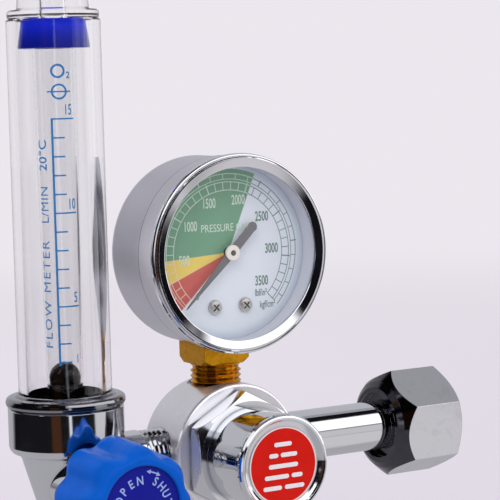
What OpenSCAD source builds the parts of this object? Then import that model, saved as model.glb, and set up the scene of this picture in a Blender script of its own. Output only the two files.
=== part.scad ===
// Oxygen regulator with pressure gauge and float flowmeter. Millimetres, +Z up.
// +X points to the inlet nut, -Y to the front: gauge face, bonnet cap and flow knob.
// Pieces are drawn about the centre of the round valve body, where the inlet axis (X), the
// bonnet axis (Y) and the gauge axis (Z) cross. from_thread() then moves the origin to the
// middle of the inlet nut's thread.

/* [Valve body] */
// radius of the round body
body_r = 18.8; // [16:0.1:22]
// front face of the body
body_front = -11.4; // [-14:0.1:-9]
// rear face of the body
body_rear = 8.5; // [6:0.1:12]

/* [Bonnet] */
// width across flats of the bonnet hexagon
bonnet_af = 30; // [26:0.5:33]
// front face of the bonnet hexagon
bonnet_hex_front = -17.5; // [-20:0.1:-15]
// radius of the bonnet neck
bonnet_r = 13.15; // [11:0.05:14]
// front face of the cap
cap_front = -35.3; // [-38:0.1:-32]
// radius of the cap
cap_r = 13.64; // [12:0.02:15]
// radius of the round label
label_r = 10.2; // [8:0.1:11]

/* [Inlet] */
// radius of the inlet stem
stem_r = 7.0; // [6:0.1:8]
// width across flats of the inlet nut
nut_af = 27; // [24:0.5:30]
// rear end of the inlet nut
nut_x0 = 53.1; // [48:0.1:60]
// mouth of the inlet nut
nut_x1 = 74; // [68:0.1:80]
// minor radius of the inlet nut thread
nut_bore_r = 10.3; // [9:0.1:11]

/* [Pressure gauge] */
// height of the gauge centre
gauge_z = 54.4; // [50:0.1:60]
// radius of the gauge case
case_r = 25.9; // [24:0.1:27]
// seam between bezel and case
gauge_seam = -6.3; // [-8:0.1:-4]
// rear plane of the gauge
gauge_rear = 11.3; // [9:0.1:14]
// front plane of the dial
dial_y = -8.4; // [-10:0.1:-7.5]
// side of the square gauge socket
socket_af = 14; // [12:0.5:17]

/* [Flowmeter] */
// position of the flowmeter axis along X
flow_x = -45.7; // [-50:0.1:-40]
// radius of the flow cup
cup_r = 15.3; // [14:0.1:17]
// underside of the flow cup
cup_z0 = 4.4; // [2:0.1:8]
// upper face of the flow cup
cup_z1 = 16.6; // [14:0.1:19]
// outer radius of the clear cover tube
tube_r = 12.3; // [11:0.1:14]
// bore radius of the clear cover tube
tube_bore_r = 9.9; // [9:0.1:11]
// upper end of the clear cover tube
tube_top = 117.7; // [110:0.1:130]
// radius of the float ball
ball_r = 4.15; // [3:0.05:5]
// height of the resting ball centre
ball_z = 24.0; // [23:0.1:26]

/* [Flow valve] */
// height of the valve axis
valve_z = -3.7; // [-6:0.1:0]
// radius over the knob lobes
knob_r = 15.4; // [13:0.1:18]
// front face of the knob disc
knob_front = -42.1; // [-46:0.1:-38]

/* [Outlet] */
// underside of the outlet boss
outlet_z0 = -22; // [-26:0.5:-18]
// radius of the plain length of the hose nipple
nipple_r = 4.0; // [3:0.1:5]

/* [Hidden] */
$fn = 96;
hex_f = 1.1547005;     // corner radius of a hexagon over half its width across flats
gap = 0.03;            // static clearance
run = 0.06;            // running clearance
face_gap = 0.02;       // clearance between faces that meet
thread_x = 68.45;      // middle of the inlet nut's thread

chrome = [0.80, 0.81, 0.83];
brass = [0.78, 0.60, 0.25];
steel = [0.62, 0.63, 0.65];
copper = [0.72, 0.42, 0.25];
black = [0.10, 0.10, 0.11];
white = [0.92, 0.92, 0.90];
red = [0.84, 0.08, 0.05];
blue = [0.05, 0.30, 0.80];
darkblue = [0.04, 0.06, 0.50];
dial_grey = [0.88, 0.92, 0.94];
pointer_grey = [0.45, 0.45, 0.46];
cream = [0.95, 0.92, 0.82];
clear = [0.85, 0.92, 0.96, 0.35];

// ---------- shared shapes ----------
function corner_r(flats) = flats / 2 * hex_f;

// Profiles are [radius, distance along the axis]; turn_front counts distance along -Y.
module turn_z(profile) { rotate_extrude() polygon(profile); }
module turn_x(profile) { rotate([0, 90, 0]) rotate_extrude() polygon(profile); }
module turn_front(profile) { rotate([90, 0, 0]) rotate_extrude() polygon(profile); }

module rod_x(radius, start, end) {
  translate([start, 0, 0]) rotate([0, 90, 0]) cylinder(r = radius, h = end - start);
}
module rod_y(radius, front, rear) {
  translate([0, rear, 0]) rotate([90, 0, 0]) cylinder(r = radius, h = rear - front);
}
module hex_y(flats, front, rear) {
  translate([0, rear, 0]) rotate([90, 0, 0]) rotate([0, 0, 30])
    cylinder(r = corner_r(flats), h = rear - front, $fn = 6);
}
module ring_y(outer_r, inner_r, front, rear) {
  difference() {
    rod_y(outer_r, front, rear);
    rod_y(inner_r, front - 1, rear + 1);
  }
}

// Coil spring along Y: a flat half turn at each end, sloping half turns between them
// that lean alternately, and a small bead at each join.
module coil_y(radius, wire, front, rear, half_turns) {
  rise = (rear - front - wire) / half_turns;
  tilt = asin(rise / 2 / radius);
  first_y = front + wire / 2;
  for (i = [-1 : half_turns]) {
    flat = i < 0 || i == half_turns;
    even = i % 2 == 0;
    offset_y = i < 0 ? 0 : flat ? rise * half_turns : rise / 2 + rise * i;
    translate([0, first_y + offset_y, 0]) rotate([-90, 0, 0])
      rotate([0, flat ? 0 : even ? tilt : -tilt, 0]) rotate([0, 0, even ? 0 : 180])
        rotate_extrude(angle = 180) translate([radius, 0]) circle(d = wire, $fn = 24);
  }
  for (i = [0 : half_turns])
    translate([(i % 2 == 0 ? 1 : -1) * radius * cos(tilt / 2), first_y + rise * i, 0])
      sphere(d = wire * 1.14, $fn = 24);
}

// ---------- valve body ----------
spigot_r = 13;         // bonnet thread
spigot_rear = -6.2;
port_r = 5.0;          // inlet and outlet sockets, at equal distances either side
port_x = 12.2;         // inner end of a port
spot_x = 17.6;         // spot face round a port, or round the gauge hole
gauge_thread_r = 7.0;
nozzle_r = 4.5;

module valve_body() color(chrome) difference() {
  front = -body_front;
  rear = -body_rear;
  turn_front([[0, rear], [body_r - 1.2, rear], [body_r - 0.35, rear + 0.35],
    [body_r, rear + 1.2], [body_r, front - 0.8], [body_r - 0.25, front - 0.25],
    [body_r - 0.8, front], [0, front]]);
  // bonnet thread, diaphragm ledge, low-pressure chamber
  rod_y(spigot_r, body_front - 1, spigot_rear);
  rod_y(12.95, -6.3, -5.4);
  rod_y(10.5, -5.5, -3.0);
  // nozzle hole and high-pressure chamber
  rod_y(nozzle_r, -3.1, 0.5);
  rod_y(3.4, 0.4, 6.4);
  // inlet port, spot face and drilling
  rod_x(port_r, port_x, 20);
  rod_x(7.8, spot_x, 20);
  translate([0, 2.9, 0]) rod_x(1.1, 2.5, port_x + 0.2);
  // outlet port, spot face and drilling
  rod_x(port_r, -20, -port_x);
  rod_x(7.8, -20, -spot_x);
  translate([0, -3.95, 0]) rod_x(0.9, -port_x - 0.2, -10);
  // gauge hole, spot face and drilling
  translate([0, 0, 13.8]) cylinder(r = gauge_thread_r, h = 6);
  translate([0, 0, spot_x]) cylinder(r = 8.1, h = 2);
  translate([0, 3.4, 2.6]) cylinder(r = 0.9, h = 12);
}

// ---------- bonnet ----------
cap_step_r = bonnet_r - 1.2;   // reduced front end of the neck, inside the cap
cap_seat = -32.4;              // front shoulder of the neck
neck_front = -33.6;
label_floor = cap_front + 0.95;
screw_r = 4.0;                 // adjusting screw

module bonnet() color(chrome) difference() {
  corner = corner_r(bonnet_af) + 0.1;
  front = -bonnet_hex_front;
  rear = -body_front;
  union() {
    // thread spigot inside the body
    rod_y(spigot_r - gap, body_front, spigot_rear);
    // hexagon with chamfered corners
    intersection() {
      hex_y(bonnet_af, bonnet_hex_front, body_front);
      turn_front([[0, rear], [bonnet_af / 2 + 0.6, rear], [corner, rear + 1.4],
        [corner, front - 1.6], [bonnet_af / 2 - 0.1, front], [0, front]]);
    }
    // neck
    rod_y(bonnet_r, cap_seat, bonnet_hex_front + 0.1);
    rod_y(cap_step_r, neck_front, cap_seat + 0.1);
  }
  // spring chamber
  rod_y(10.6, -27.5, -6.1);
  // adjusting screw thread and counterbore
  rod_y(screw_r, -34, -27.4);
  rod_y(8.0, -34, -31.0);
}

module bonnet_cap() color(chrome) difference() {
  front = -cap_front;
  seat = -cap_seat + gap;
  turn_front([[0, -neck_front], [cap_step_r + gap, -neck_front], [cap_step_r + gap, seat],
    [cap_r - 0.7, seat], [cap_r - 0.2, seat + 0.15], [cap_r, 33.0], [cap_r, front - 1.3],
    [cap_r - 0.12, front - 0.75], [cap_r - 0.45, front - 0.25], [cap_r - 0.95, front],
    [cap_r - 1.45, front - 0.12], [cap_r - 1.85, front - 0.45], [label_r + 1.0, front - 0.75],
    [label_r + 0.45, -label_floor], [0, -label_floor]]);
  rod_y(6, -33.9, -33);
}

module cap_label() color(red) ring_y(label_r, 0, cap_front + 0.75, label_floor - 0.01);

// flexible disc with one convolution, open at the centre
module diaphragm() color(black)
  turn_front([[2.0, 5.42], [12.9, 5.42], [12.9, 6.18], [10.2, 6.18], [9.6, 6.5], [8.9, 6.6],
    [8.2, 6.4], [7.6, 6.1], [2.0, 6.1]]);

// push button behind the diaphragm, waist through it, plate in front
module diaphragm_plate() color(brass)
  turn_front([[0, 4.6], [3.4, 4.6], [3.6, 4.8], [3.6, 5.4], [1.95, 5.4], [1.95, 6.12],
    [7.4, 6.12], [7.4, 7.3], [7.1, 7.6], [4.9, 7.6], [4.9, 9.2], [4.5, 9.6], [0, 9.6]]);

module main_spring() color(steel)
  coil_y(radius = 6.1, wire = 1.9, front = -24.80, rear = -7.77, half_turns = 7);

module spring_button() color(brass) difference() {
  turn_front([[0, 24.95], [9.4, 24.95], [9.4, 25.9], [8.9, 26.4], [5.3, 26.4], [0, 26.4]]);
  rod_y(1.6, -26.5, -25.7);
}

// set screw with a hexagon socket in its front end
module adjusting_screw() color(steel) difference() {
  rod_y(screw_r - gap, -32.6, -26.45);
  hex_y(4, -33, -29.4);
}

module seat_nozzle() color(brass) difference() {
  union() {
    rod_y(nozzle_r - gap, -3.1, 0.45);
    intersection() {
      hex_y(9, -4.25, -3.02);
      turn_front([[0, 3.0], [5.2, 3.0], [5.2, 3.9], [4.7, 4.26], [0, 4.26]]);
    }
  }
  rod_y(1.15, -5, 2);
}

// ring groove in the poppet head, filled by the seat
seat_outer_r = 2.5;
seat_inner_r = 1.3;
seat_rear = 1.9;

module valve_poppet() color(brass) difference() {
  union() {
    rod_y(0.8, -4.58, 1.2);
    turn_front([[0, -1.1], [2.9, -1.1], [2.9, -3.6], [1.9, -3.6], [1.9, -4.4], [0, -4.4]]);
  }
  ring_y(seat_outer_r, seat_inner_r, 0, seat_rear);
}

module poppet_seat() color(white)
  ring_y(seat_outer_r - 0.01, seat_inner_r + 0.01, 1.0, seat_rear - 0.01);

module poppet_spring() color(steel)
  coil_y(radius = 2.4, wire = 0.6, front = 3.66, rear = 6.36, half_turns = 3);

// ---------- inlet ----------
filter_bore_r = 3.4;

module inlet_stem() color(chrome) difference() {
  shoulder = spot_x + face_gap;
  turn_x([[0, 12.9], [port_r - gap, 12.9], [port_r - gap, shoulder], [stem_r, shoulder],
    [stem_r, 59.32], [8.6, 59.32], [9.8, 59.8], [9.8, 61.6], [9.3, 62.4], [4.6, 62.4],
    [4.6, 63.6], [4.3, 63.9], [0, 63.9]]);
  rod_x(2.4, 12, 66);
  rod_x(filter_bore_r, 60, 66);
}

// hexagon nut, turned 5 degrees about the inlet axis
module inlet_nut() color(chrome) difference() {
  half = nut_af / 2;
  corner = corner_r(nut_af);
  intersection() {
    rotate([0, 90, 0]) rotate([0, 0, 5]) cylinder(r = corner, h = 200, center = true, $fn = 6);
    turn_x([[0, nut_x0], [half - 2.6, nut_x0], [half - 0.9, nut_x0 + 1.1],
      [corner + 0.12, nut_x0 + 4.8], [corner + 0.12, nut_x1 - 1.4], [half - 0.1, nut_x1],
      [0, nut_x1]]);
  }
  // collar hole, rear recess, thread run-out and threaded bore with a lead-in chamfer
  rod_x(stem_r + run, nut_x0 - 1, 60);
  rod_x(9.6, nut_x0 - 1, nut_x0 + 2.4);
  rod_x(10.9, 59.2, 64.1);
  rod_x(nut_bore_r, 59.2, 80);
  turn_x([[0, nut_x1 - 1.2], [nut_bore_r, nut_x1 - 1.2], [nut_bore_r + 1.4, nut_x1 + 0.2],
    [0, nut_x1 + 0.2]]);
}

module inlet_gasket() color(white)
  turn_x([[4.62, 62.42], [9.0, 62.42], [9.2, 62.6], [9.2, 64.0], [4.62, 64.0]]);

module inlet_filter() color(brass) {
  radius = filter_bore_r - gap;
  turn_x([[0, 60.02], [radius, 60.02], [radius, 62.6], [3.0, 63.0], [0, 63.0]]);
}

// ---------- pressure gauge: case and dial ----------
socket_y = 0.6;        // axis of the socket's square and neck
lip_r = case_r - 0.6;  // front lip of the case, inside the bezel
dial_r = 24.2;
arbor_r = 0.7;

module at_gauge() { translate([0, 0, gauge_z]) children(); }

// pairs of places in the gauge frame
module at_dial_screws() { for (x = [-4.75, 4.75]) translate([x, 0, -14.6]) children(); }
module at_plate_screws() { for (x = [-2.4, 2.4]) translate([x, 0, -17.6]) children(); }
module at_pillars() { for (x = [-7, 7]) translate([x, 0, 2.6]) children(); }

module gauge_case() color(chrome) difference() {
  rear = -gauge_rear;
  seam = -gauge_seam - face_gap;
  at_gauge() difference() {
    turn_front([[0, rear], [case_r - 2.2, rear], [case_r - 0.9, rear + 0.5],
      [case_r - 0.2, rear + 1.4], [case_r, rear + 2.4], [case_r, seam], [lip_r, seam],
      [lip_r, 9.9], [0, 9.9]]);
    rod_y(case_r - 1.4, -12, gauge_rear - 1.2);
  }
  // hole for the socket neck
  translate([0, socket_y, 20]) cylinder(r = 5.55, h = 15);
}

module gauge_bezel() color(chrome) {
  seam = -gauge_seam;
  bore_r = lip_r + 0.02;
  at_gauge() turn_front([[bore_r, seam], [26.2, seam], [26.3, seam + 0.15], [26.3, 13.9],
    [26.75, 14.05], [26.95, 14.4], [27.0, 14.9], [26.92, 15.5], [26.7, 15.9], [26.4, 16.05],
    [26.15, 16.0], [26.05, 16.3], [25.8, 16.48], [25.4, 16.5], [23.5, 15.95], [23.3, 15.85],
    [23.3, 15.72], [24.6, 15.72], [24.6, 10.0], [bore_r, 10.0]]);
}

module gauge_window() color(clear) at_gauge() ring_y(24.55, 0, -15.7, -14.5);

module window_gasket() color(white) at_gauge() ring_y(dial_r, 23.6, -14.48, dial_y - face_gap);

module gauge_dial() color(dial_grey) at_gauge() difference() {
  rod_y(dial_r, dial_y, dial_y + 0.6);
  rod_y(1.5, dial_y - 1, dial_y + 2);
  at_dial_screws() rod_y(1.1, dial_y - 1, dial_y + 2);
}

// screws with domed, cross-slotted heads
module dial_screws() color(steel) at_gauge() at_dial_screws() difference() {
  face = -dial_y;
  union() {
    turn_front([[0, face + 0.01], [2.0, face + 0.01], [2.0, face + 0.5], [1.7, face + 0.9],
      [1.0, face + 1.15], [0, face + 1.2]]);
    rod_y(1.0, dial_y - 0.2, -5.2);
  }
  rotate([0, 45, 0]) for (a = [0, 90])
    rotate([0, a, 0]) translate([-1.2, dial_y - 1.5, -0.2]) cube([2.4, 0.9, 0.4]);
}

// tapered needle along -X, short tail along +X ending in a disc
module pointer_flat() {
  tail_x = 9.4;
  difference() {
    union() {
      circle(r = 2.0);
      polygon([[0, -1.2], [0, 1.2], [-19.6, 0.16], [-20.4, 0], [-19.6, -0.16]]);
      polygon([[0, -1.25], [tail_x, -1.2], [tail_x, 1.2], [0, 1.25]]);
      translate([tail_x, 0]) circle(r = 1.35, $fn = 40);
    }
    circle(r = arbor_r + 0.01);
  }
}

// pointer rests at the start of the scale, lower left
module gauge_pointer() color(pointer_grey) at_gauge() rotate([0, -45, 0])
  translate([0, -10.0, 0]) rotate([90, 0, 0]) linear_extrude(height = 0.4) pointer_flat();

module pointer_hub() color(cream) at_gauge()
  turn_front([[arbor_r + 0.02, 10.42], [2.15, 10.42], [2.15, 10.95], [1.95, 11.15],
    [0.9, 11.2], [arbor_r + 0.02, 11.1]]);

// ---------- pressure gauge: movement ----------
// The pinion arbor lies on the gauge axis, the sector pivot below it.
gear_module = 0.25;
pinion_teeth = 10;
sector_teeth = 90;     // for a full circle
pinion_r = gear_module * pinion_teeth / 2;
sector_r = gear_module * sector_teeth / 2;
gear_centres = pinion_r + sector_r + 0.02;
sector_turn = 270 * pinion_teeth / sector_teeth;  // for 270 degrees of the pointer
pivot_r = 0.6;
tail_angle = -10;      // sector tail lever
tail_length = 7;
link_pin_r = 0.45;
link_tail = [tail_length * cos(tail_angle), -gear_centres + tail_length * sin(tail_angle)];
link_tip = [14.5, -3.9];

module at_sector() { translate([0, 0, -gear_centres]) children(); }

// tooth pointing along +X
module tooth(pitch_r, root_w, tip_w) {
  root = pitch_r - 0.35;
  tip = pitch_r + 0.19;
  polygon([[root, -root_w / 2], [tip, -tip_w / 2], [tip, tip_w / 2], [root, root_w / 2]]);
}

module pinion_flat() {
  circle(r = pinion_r - 0.26, $fn = 40);
  for (i = [0 : pinion_teeth - 1]) rotate(i * 360 / pinion_teeth) tooth(pinion_r, 0.30, 0.12);
}

module pointer_arbor() color(brass) at_gauge() {
  turn_front([[0, -4.0], [0.5, -4.0], [arbor_r, -3.8], [arbor_r, 11.2], [0.5, 11.4],
    [0, 11.4]]);
  rotate([90, 0, 0]) translate([0, 0, -1.2]) linear_extrude(height = 2.4) pinion_flat();
}

module sector_flat() {
  difference() {
    union() {
      circle(r = 2.2, $fn = 48);
      // rim, from 6 degrees before the vertical to 6 past the working turn
      intersection() {
        difference() {
          circle(r = sector_r - 0.28);
          circle(r = sector_r - 2.2);
        }
        polygon(concat([[0, 0]],
          [for (a = [-6, sector_turn / 2, sector_turn + 6]) 30 * [sin(a), cos(a)]]));
      }
      // spokes
      for (a = [-3.2, sector_turn + 3.2])
        rotate(-a) translate([-0.9, 0]) square([1.8, sector_r - 0.8]);
      for (i = [-1 : 8]) rotate(90 - i * 360 / sector_teeth) tooth(sector_r, 0.34, 0.13);
      // tail lever to the link
      rotate(tail_angle) translate([0, -1.0]) square([tail_length, 2.0]);
      rotate(tail_angle) translate([tail_length, 0]) circle(r = 1.2, $fn = 40);
    }
    circle(r = pivot_r + 0.04, $fn = 40);
    rotate(tail_angle) translate([tail_length, 0]) circle(r = link_pin_r + 0.04, $fn = 32);
  }
}

module sector_gear() color(brass) at_gauge() at_sector()
  rotate([90, 0, 0]) translate([0, 0, -0.5]) linear_extrude(height = 1.0) sector_flat();

// two plates, each narrowing downward in steps
module movement_plates() color(brass) at_gauge() difference() {
  // half width, bottom z, height
  steps = [[8.5, -13.6, 17.8], [6.6, -16.2, 2.7], [3.9, -19.2, 3.1]];
  for (y = [-4.6, 2.6], step = steps)
    translate([-step[0], y, step[1]]) cube([2 * step[0], 1.0, step[2]]);
  rod_y(arbor_r + 0.04, -8, 8);
  at_sector() rod_y(pivot_r + 0.03, -8, 8);
  at_pillars() rod_y(0.8, -8, 8);
  // front plate only
  at_dial_screws() rod_y(0.93, -8, -1);
  at_plate_screws() rod_y(0.85, -8, -1);
}

// slotted screws from the front plate into the socket block
module movement_screws() color(steel) at_gauge() at_plate_screws() difference() {
  turn_front([[0, 1.2], [0.78, 1.2], [0.78, 4.62], [1.4, 4.62], [1.4, 5.0], [1.1, 5.4],
    [0, 5.5]]);
  translate([-1.5, -6, -0.15]) cube([3, 0.9, 0.3]);
}

module dial_posts() color(brass) at_gauge() at_dial_screws() difference() {
  turn_front([[0, 3.7], [0.9, 3.7], [0.9, 4.62], [1.8, 4.62], [1.8, 7.76], [0, 7.76]]);
  rod_y(1.03, -9, -4.9);
}

// two shouldered pillars between the plates, and the sector's pivot pin
module movement_pillars() color(brass) at_gauge() {
  at_pillars() turn_front([[0, -4.2], [1.3, -4.2], [1.3, -3.63], [0.78, -3.63],
    [0.78, -2.58], [1.6, -2.58], [1.6, 3.58], [0.78, 3.58], [0.78, 4.63], [1.3, 4.63],
    [1.3, 5.2], [0, 5.2]]);
  at_sector() turn_front([[0, -3.9], [pivot_r, -3.9], [pivot_r, 4.9], [0, 4.9]]);
}

// spiral of half turns on two centres, each half turn wider by the centre offset
module hairspring() color(steel) at_gauge() {
  step = 0.2;
  strip = [0.12, 0.6];
  for (i = [0 : 6]) translate([i % 2 == 0 ? 0 : step, -2.4, 0])
    rotate([90, 0, 0]) rotate([0, 0, i % 2 == 0 ? -0.5 : 179.5]) rotate_extrude(angle = 181)
      translate([0.95 + step * i - strip[0] / 2, 0]) square(strip);
}

// ---------- pressure gauge: bourdon tube and socket ----------
// flattened tube bent to an arc, open end in the socket block
bourdon_r = 19.2;
bourdon_start = 256;
bourdon_end = bourdon_start - 265;
bourdon_size = [2.6, 5.4];     // radial width, depth along Y

module flat_oval(size) {
  straight = size[1] - size[0];
  translate([-size[0] / 2, -straight / 2]) square([size[0], straight]);
  for (side = [-1, 1]) translate([0, side * straight / 2]) circle(d = size[0], $fn = 32);
}

module bourdon_arc(size, start, end) {
  rotate([90, 0, 0]) rotate([0, 0, end]) rotate_extrude(angle = start - end)
    translate([bourdon_r, 0.5]) flat_oval(size);
}

// the bore stops 2 degrees short of the tip
module bourdon_tube() color(brass) at_gauge() difference() {
  bourdon_arc(bourdon_size, bourdon_start, bourdon_end);
  bourdon_arc(bourdon_size - [1, 1], bourdon_start + 2, bourdon_end + 2);
}

// lug soldered inside the tip, with an adjusting slot for the link pin
module tube_tip_lug() color(brass) at_gauge() rotate([90, 0, 0]) translate([0, 0, -0.4])
  linear_extrude(height = 0.8) difference() {
    slot_r = 0.78;
    slot_length = 3.4;
    intersection() {
      translate([12.9, -5.4]) square([6, 6.6]);
      circle(r = bourdon_r - bourdon_size[0] / 2 - 0.01, $fn = 240);
    }
    translate(link_tip) circle(r = slot_r, $fn = 40);
    translate(link_tip - [slot_r, 0]) square([2 * slot_r, slot_length]);
    translate(link_tip + [0, slot_length]) circle(r = slot_r, $fn = 40);
  }

// bar with a round eye and a pin at each end
module movement_link() color(steel) at_gauge() rotate([90, 0, 0]) {
  span = link_tip - link_tail;
  translate([0, 0, -0.95]) linear_extrude(height = 0.4) {
    translate(link_tail) rotate(atan2(span[1], span[0])) translate([0, -0.75])
      square([norm(span), 1.5]);
    for (end = [link_tail, link_tip]) translate(end) circle(r = 0.95, $fn = 40);
  }
  for (end = [link_tail, link_tip])
    translate([end[0], end[1], -0.6]) cylinder(r = link_pin_r, h = 1.3, $fn = 32);
}

module gauge_socket() color(brass) difference() {
  thread = gauge_thread_r;
  union() {
    difference() {
      union() {
        // square with a conical underside
        translate([-socket_af / 2, socket_y - socket_af / 2, 23.6]) intersection() {
          cube([socket_af, socket_af, 6]);
          translate([socket_af / 2, socket_af / 2, -1]) cylinder(r1 = 7.4, r2 = 15.4, h = 8);
        }
        // plain end, thread rings, cone
        turn_z([[0, 14.6], [6.4, 14.6], [thread - gap, 15.2], [thread - gap, 17.7],
          [6.3, 18.0], [thread, 18.5], [6.3, 19.2], [thread, 20.0], [6.3, 20.7],
          [thread, 21.5], [6.3, 22.1], [6.3, 22.6], [7.3, 23.7], [0, 23.7]]);
      }
      // saddle under the case and bezel
      at_gauge() rod_y(case_r + 0.05, -20, 20);
      at_gauge() rod_y(26.5, -20, gauge_seam + 0.05);
    }
    // neck through the case, block inside it
    translate([0, socket_y, 27]) cylinder(r = 5.5, h = 4.5);
    translate([-7.4, -3.58, 31.4]) cube([12.6, 6.16, 7.6]);
  }
  // gas way up to the tube
  translate([0, 0, 10]) cylinder(r = 1.2, h = 26.6);
  translate([0, -0.5, 36.0]) rotate([0, -90, 0]) cylinder(r = 0.8, h = 5.5);
  at_gauge() bourdon_arc(bourdon_size + 2 * [gap, gap], bourdon_start + 0.2, 240);
  at_gauge() at_plate_screws() rod_y(0.8, -4, -1);
}

module gauge_washer() color(copper)
  turn_z([[2.6, 13.82], [6.3, 13.82], [6.3, 14.58], [2.6, 14.58]]);

// ---------- flowmeter ----------
boss_r = 5.8;          // outlet boss
pipe_bore_r = 1.8;
well_r = 14.2;         // ring-shaped well in the cup
gland_r = 6.3;         // front end of the valve boss, inside the gland nut

module at_flow() { translate([flow_x, 0, 0]) children(); }
module at_valve() { translate([flow_x, 0, valve_z]) children(); }

module flow_body() color(chrome) difference() {
  union() {
    // outlet boss, waist and cup
    at_flow() turn_z([[0, outlet_z0], [5.2, outlet_z0], [boss_r, outlet_z0 + 0.6],
      [boss_r, -13.5], [7.9, -12.6], [8.8, -8.2], [9.9, -4.5], [12.1, 3.0], [12.6, 3.9],
      [13.4, cup_z0], [14.4, cup_z0 + 0.3], [15.0, cup_z0 + 1.0], [cup_r, cup_z0 + 2.0],
      [cup_r, cup_z1 - 0.5], [cup_r - 0.5, cup_z1], [0, cup_z1]]);
    // pipe to the valve body with thread rings
    turn_x([[0, flow_x], [7.4, flow_x], [7.4, -25.2], [7.0, -24.8], [6.5, -24.5],
      [6.5, -23.9], [7.1, -23.3], [6.5, -22.6], [7.1, -21.9], [6.5, -21.2], [7.1, -20.5],
      [6.5, -19.8], [7.1, -19.1], [6.8, -18.5], [7.2, -spot_x - face_gap],
      [port_r - gap, -spot_x - face_gap], [port_r - gap, -12.9], [0, -12.9]]);
    // valve boss
    at_valve() rod_y(8.2, -15.5, 0);
    at_valve() rod_y(gland_r, -21.0, -15);
  }
  // pipe bore up to the metering tube
  rod_x(pipe_bore_r, flow_x, -12);
  translate([flow_x, 0, -pipe_bore_r]) cylinder(r = pipe_bore_r, h = 16);
  // well round the tube seat, then the seat's bore
  at_flow() difference() {
    translate([0, 0, 12.0]) cylinder(r = well_r, h = 8);
    translate([0, 0, 11]) cylinder(r = 6.6, h = 5.4);
  }
  at_flow() translate([0, 0, 13.2]) cylinder(r = 4.8, h = 10);
  // drilling from the well to the valve chamber
  translate([flow_x, -8.3, valve_z + 1]) cylinder(r = 1.0, h = 16);
  // valve chamber, seat hole, packing recess
  at_valve() {
    rod_y(3.05, -25, -8.4);
    rod_y(1.5, -9, -5.0);
    rod_y(4.6, -25, -17.2);
  }
  // way down and across to the outlet bore
  translate([flow_x, -5.6, -11.6]) cylinder(r = 1.2, h = 8.1);
  translate([flow_x, 0, -11.0]) rod_y(1.0, -6.0, -2.4);
  at_flow() translate([0, 0, outlet_z0 - 1]) cylinder(r = 3.0, h = 13.1);
}

module tube_collar() color(chrome) at_flow()
  turn_z([[tube_r + gap, cup_z1 - 0.08], [13.25, cup_z1 - 0.08], [13.25, 13.4],
    [well_r - gap, 13.4], [well_r - gap, cup_z1 + 0.02], [14.9, cup_z1 + 0.02],
    [15.5, cup_z1 + 0.3], [15.8, cup_z1 + 0.9], [15.8, 18.2], [15.6, 18.8], [15.1, 19.2],
    [14.4, 19.35], [13.6, 19.4], [12.9, 19.9], [tube_r + gap, 20.0]]);

module cover_tube() color(clear) at_flow()
  turn_z([[tube_bore_r, 12.9], [12.25, 12.9], [12.25, 13.6], [13.1, 13.6], [13.1, 16.5],
    [tube_r, 16.5], [tube_r, tube_top - 0.3], [tube_r - 0.3, tube_top],
    [tube_bore_r, tube_top]]);

// the bore widens upward
module metering_tube() color(clear) at_flow() difference() {
  turn_z([[0, 14.0], [4.7, 14.0], [4.75, 19.8], [5.7, 112.0], [0, 112.0]]);
  turn_z([[0, 13.5], [3.2, 13.5], [3.2, 21.3], [4.25, 22.4], [5.15, 112.5], [0, 112.5]]);
}

module float_ball() color(black) at_flow() translate([0, 0, ball_z]) sphere(r = ball_r);

module float_stop() color(white) at_flow() difference() {
  turn_z([[0, 110.3], [1.2, 110.3], [1.2, 111.0], [5.0, 111.0], [5.0, 112.0], [0, 112.0]]);
  for (a = [0 : 90 : 270]) rotate(a) translate([3.1, 0, 110]) cylinder(r = 1.1, h = 3);
}

// plug on top of the metering tube, with radial holes
module tube_seal() color(darkblue) at_flow() difference() {
  turn_z([[0, 110.2], [9.2, 110.2], [9.4, 110.5], [8.4, 117.3], [8.1, 117.6], [0, 117.6]]);
  translate([0, 0, 110]) cylinder(r = 5.72, h = 2.05);
  translate([0, 0, 110]) cylinder(r = 4.0, h = 5.4);
  for (a = [0, 60, 120])
    rotate(a) translate([0, 0, 114.4]) rotate([0, 90, 0]) cylinder(r = 0.8, h = 12);
}

module tube_cap() color(clear) at_flow() difference() {
  // radius, height above the tube top
  outline = [[0, face_gap], [11.4, face_gap], [11.9, 0.4], [12.0, 1.2], [11.9, 2.0],
    [11.4, 2.4], [9.8, 2.5], [9.4, 2.8], [9.2, 5.6], [9.0, 6.2], [8.0, 6.6], [7.5, 7.2],
    [7.5, 9.5], [7.2, 10.6], [6.4, 11.6], [5.0, 12.3], [3.0, 12.8], [0, 13.0]];
  turn_z([for (point = outline) point + [0, tube_top]]);
  translate([0, 0, tube_top - 1]) cylinder(r = 3, h = 7);
}

module cover_oring() color(black) at_flow()
  turn_z([[10.2, 12.02], [12.9, 12.02], [12.9, 12.86], [10.2, 12.86]]);

module metering_oring() color(black) at_flow()
  turn_z([[2.6, 13.22], [4.7, 13.22], [4.7, 13.98], [2.6, 13.98]]);

// ---------- flow valve ----------
spindle_r = 2.5;
badge_r = 10.5;        // recess for the knob disc

// needle point at the rear, collar, long stem with a screw hole in its front end
module flow_spindle() color(steel) at_valve() difference() {
  turn_front([[0, 6.0], [0.5, 6.0], [1.44, 8.5], [1.9, 9.2], [1.9, 10.9], [3.0, 11.0],
    [3.0, 14.9], [spindle_r, 15.2], [spindle_r, 37.5], [2.2, 37.8], [0, 37.8]]);
  rod_y(1.25, -38, -29);
}

module gland_nut() color(chrome) at_valve() difference() {
  intersection() {
    hex_y(17, -25.4, -15.9);
    turn_front([[0, 15.9], [8.9, 15.9], [9.7, 16.5], [9.7, 24.6], [8.6, 25.4], [0, 25.4]]);
  }
  rod_y(gland_r + gap, -21.02, -15);
  rod_y(4.62, -22, -15);
  rod_y(spindle_r + run, -27, -15);
}

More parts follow.
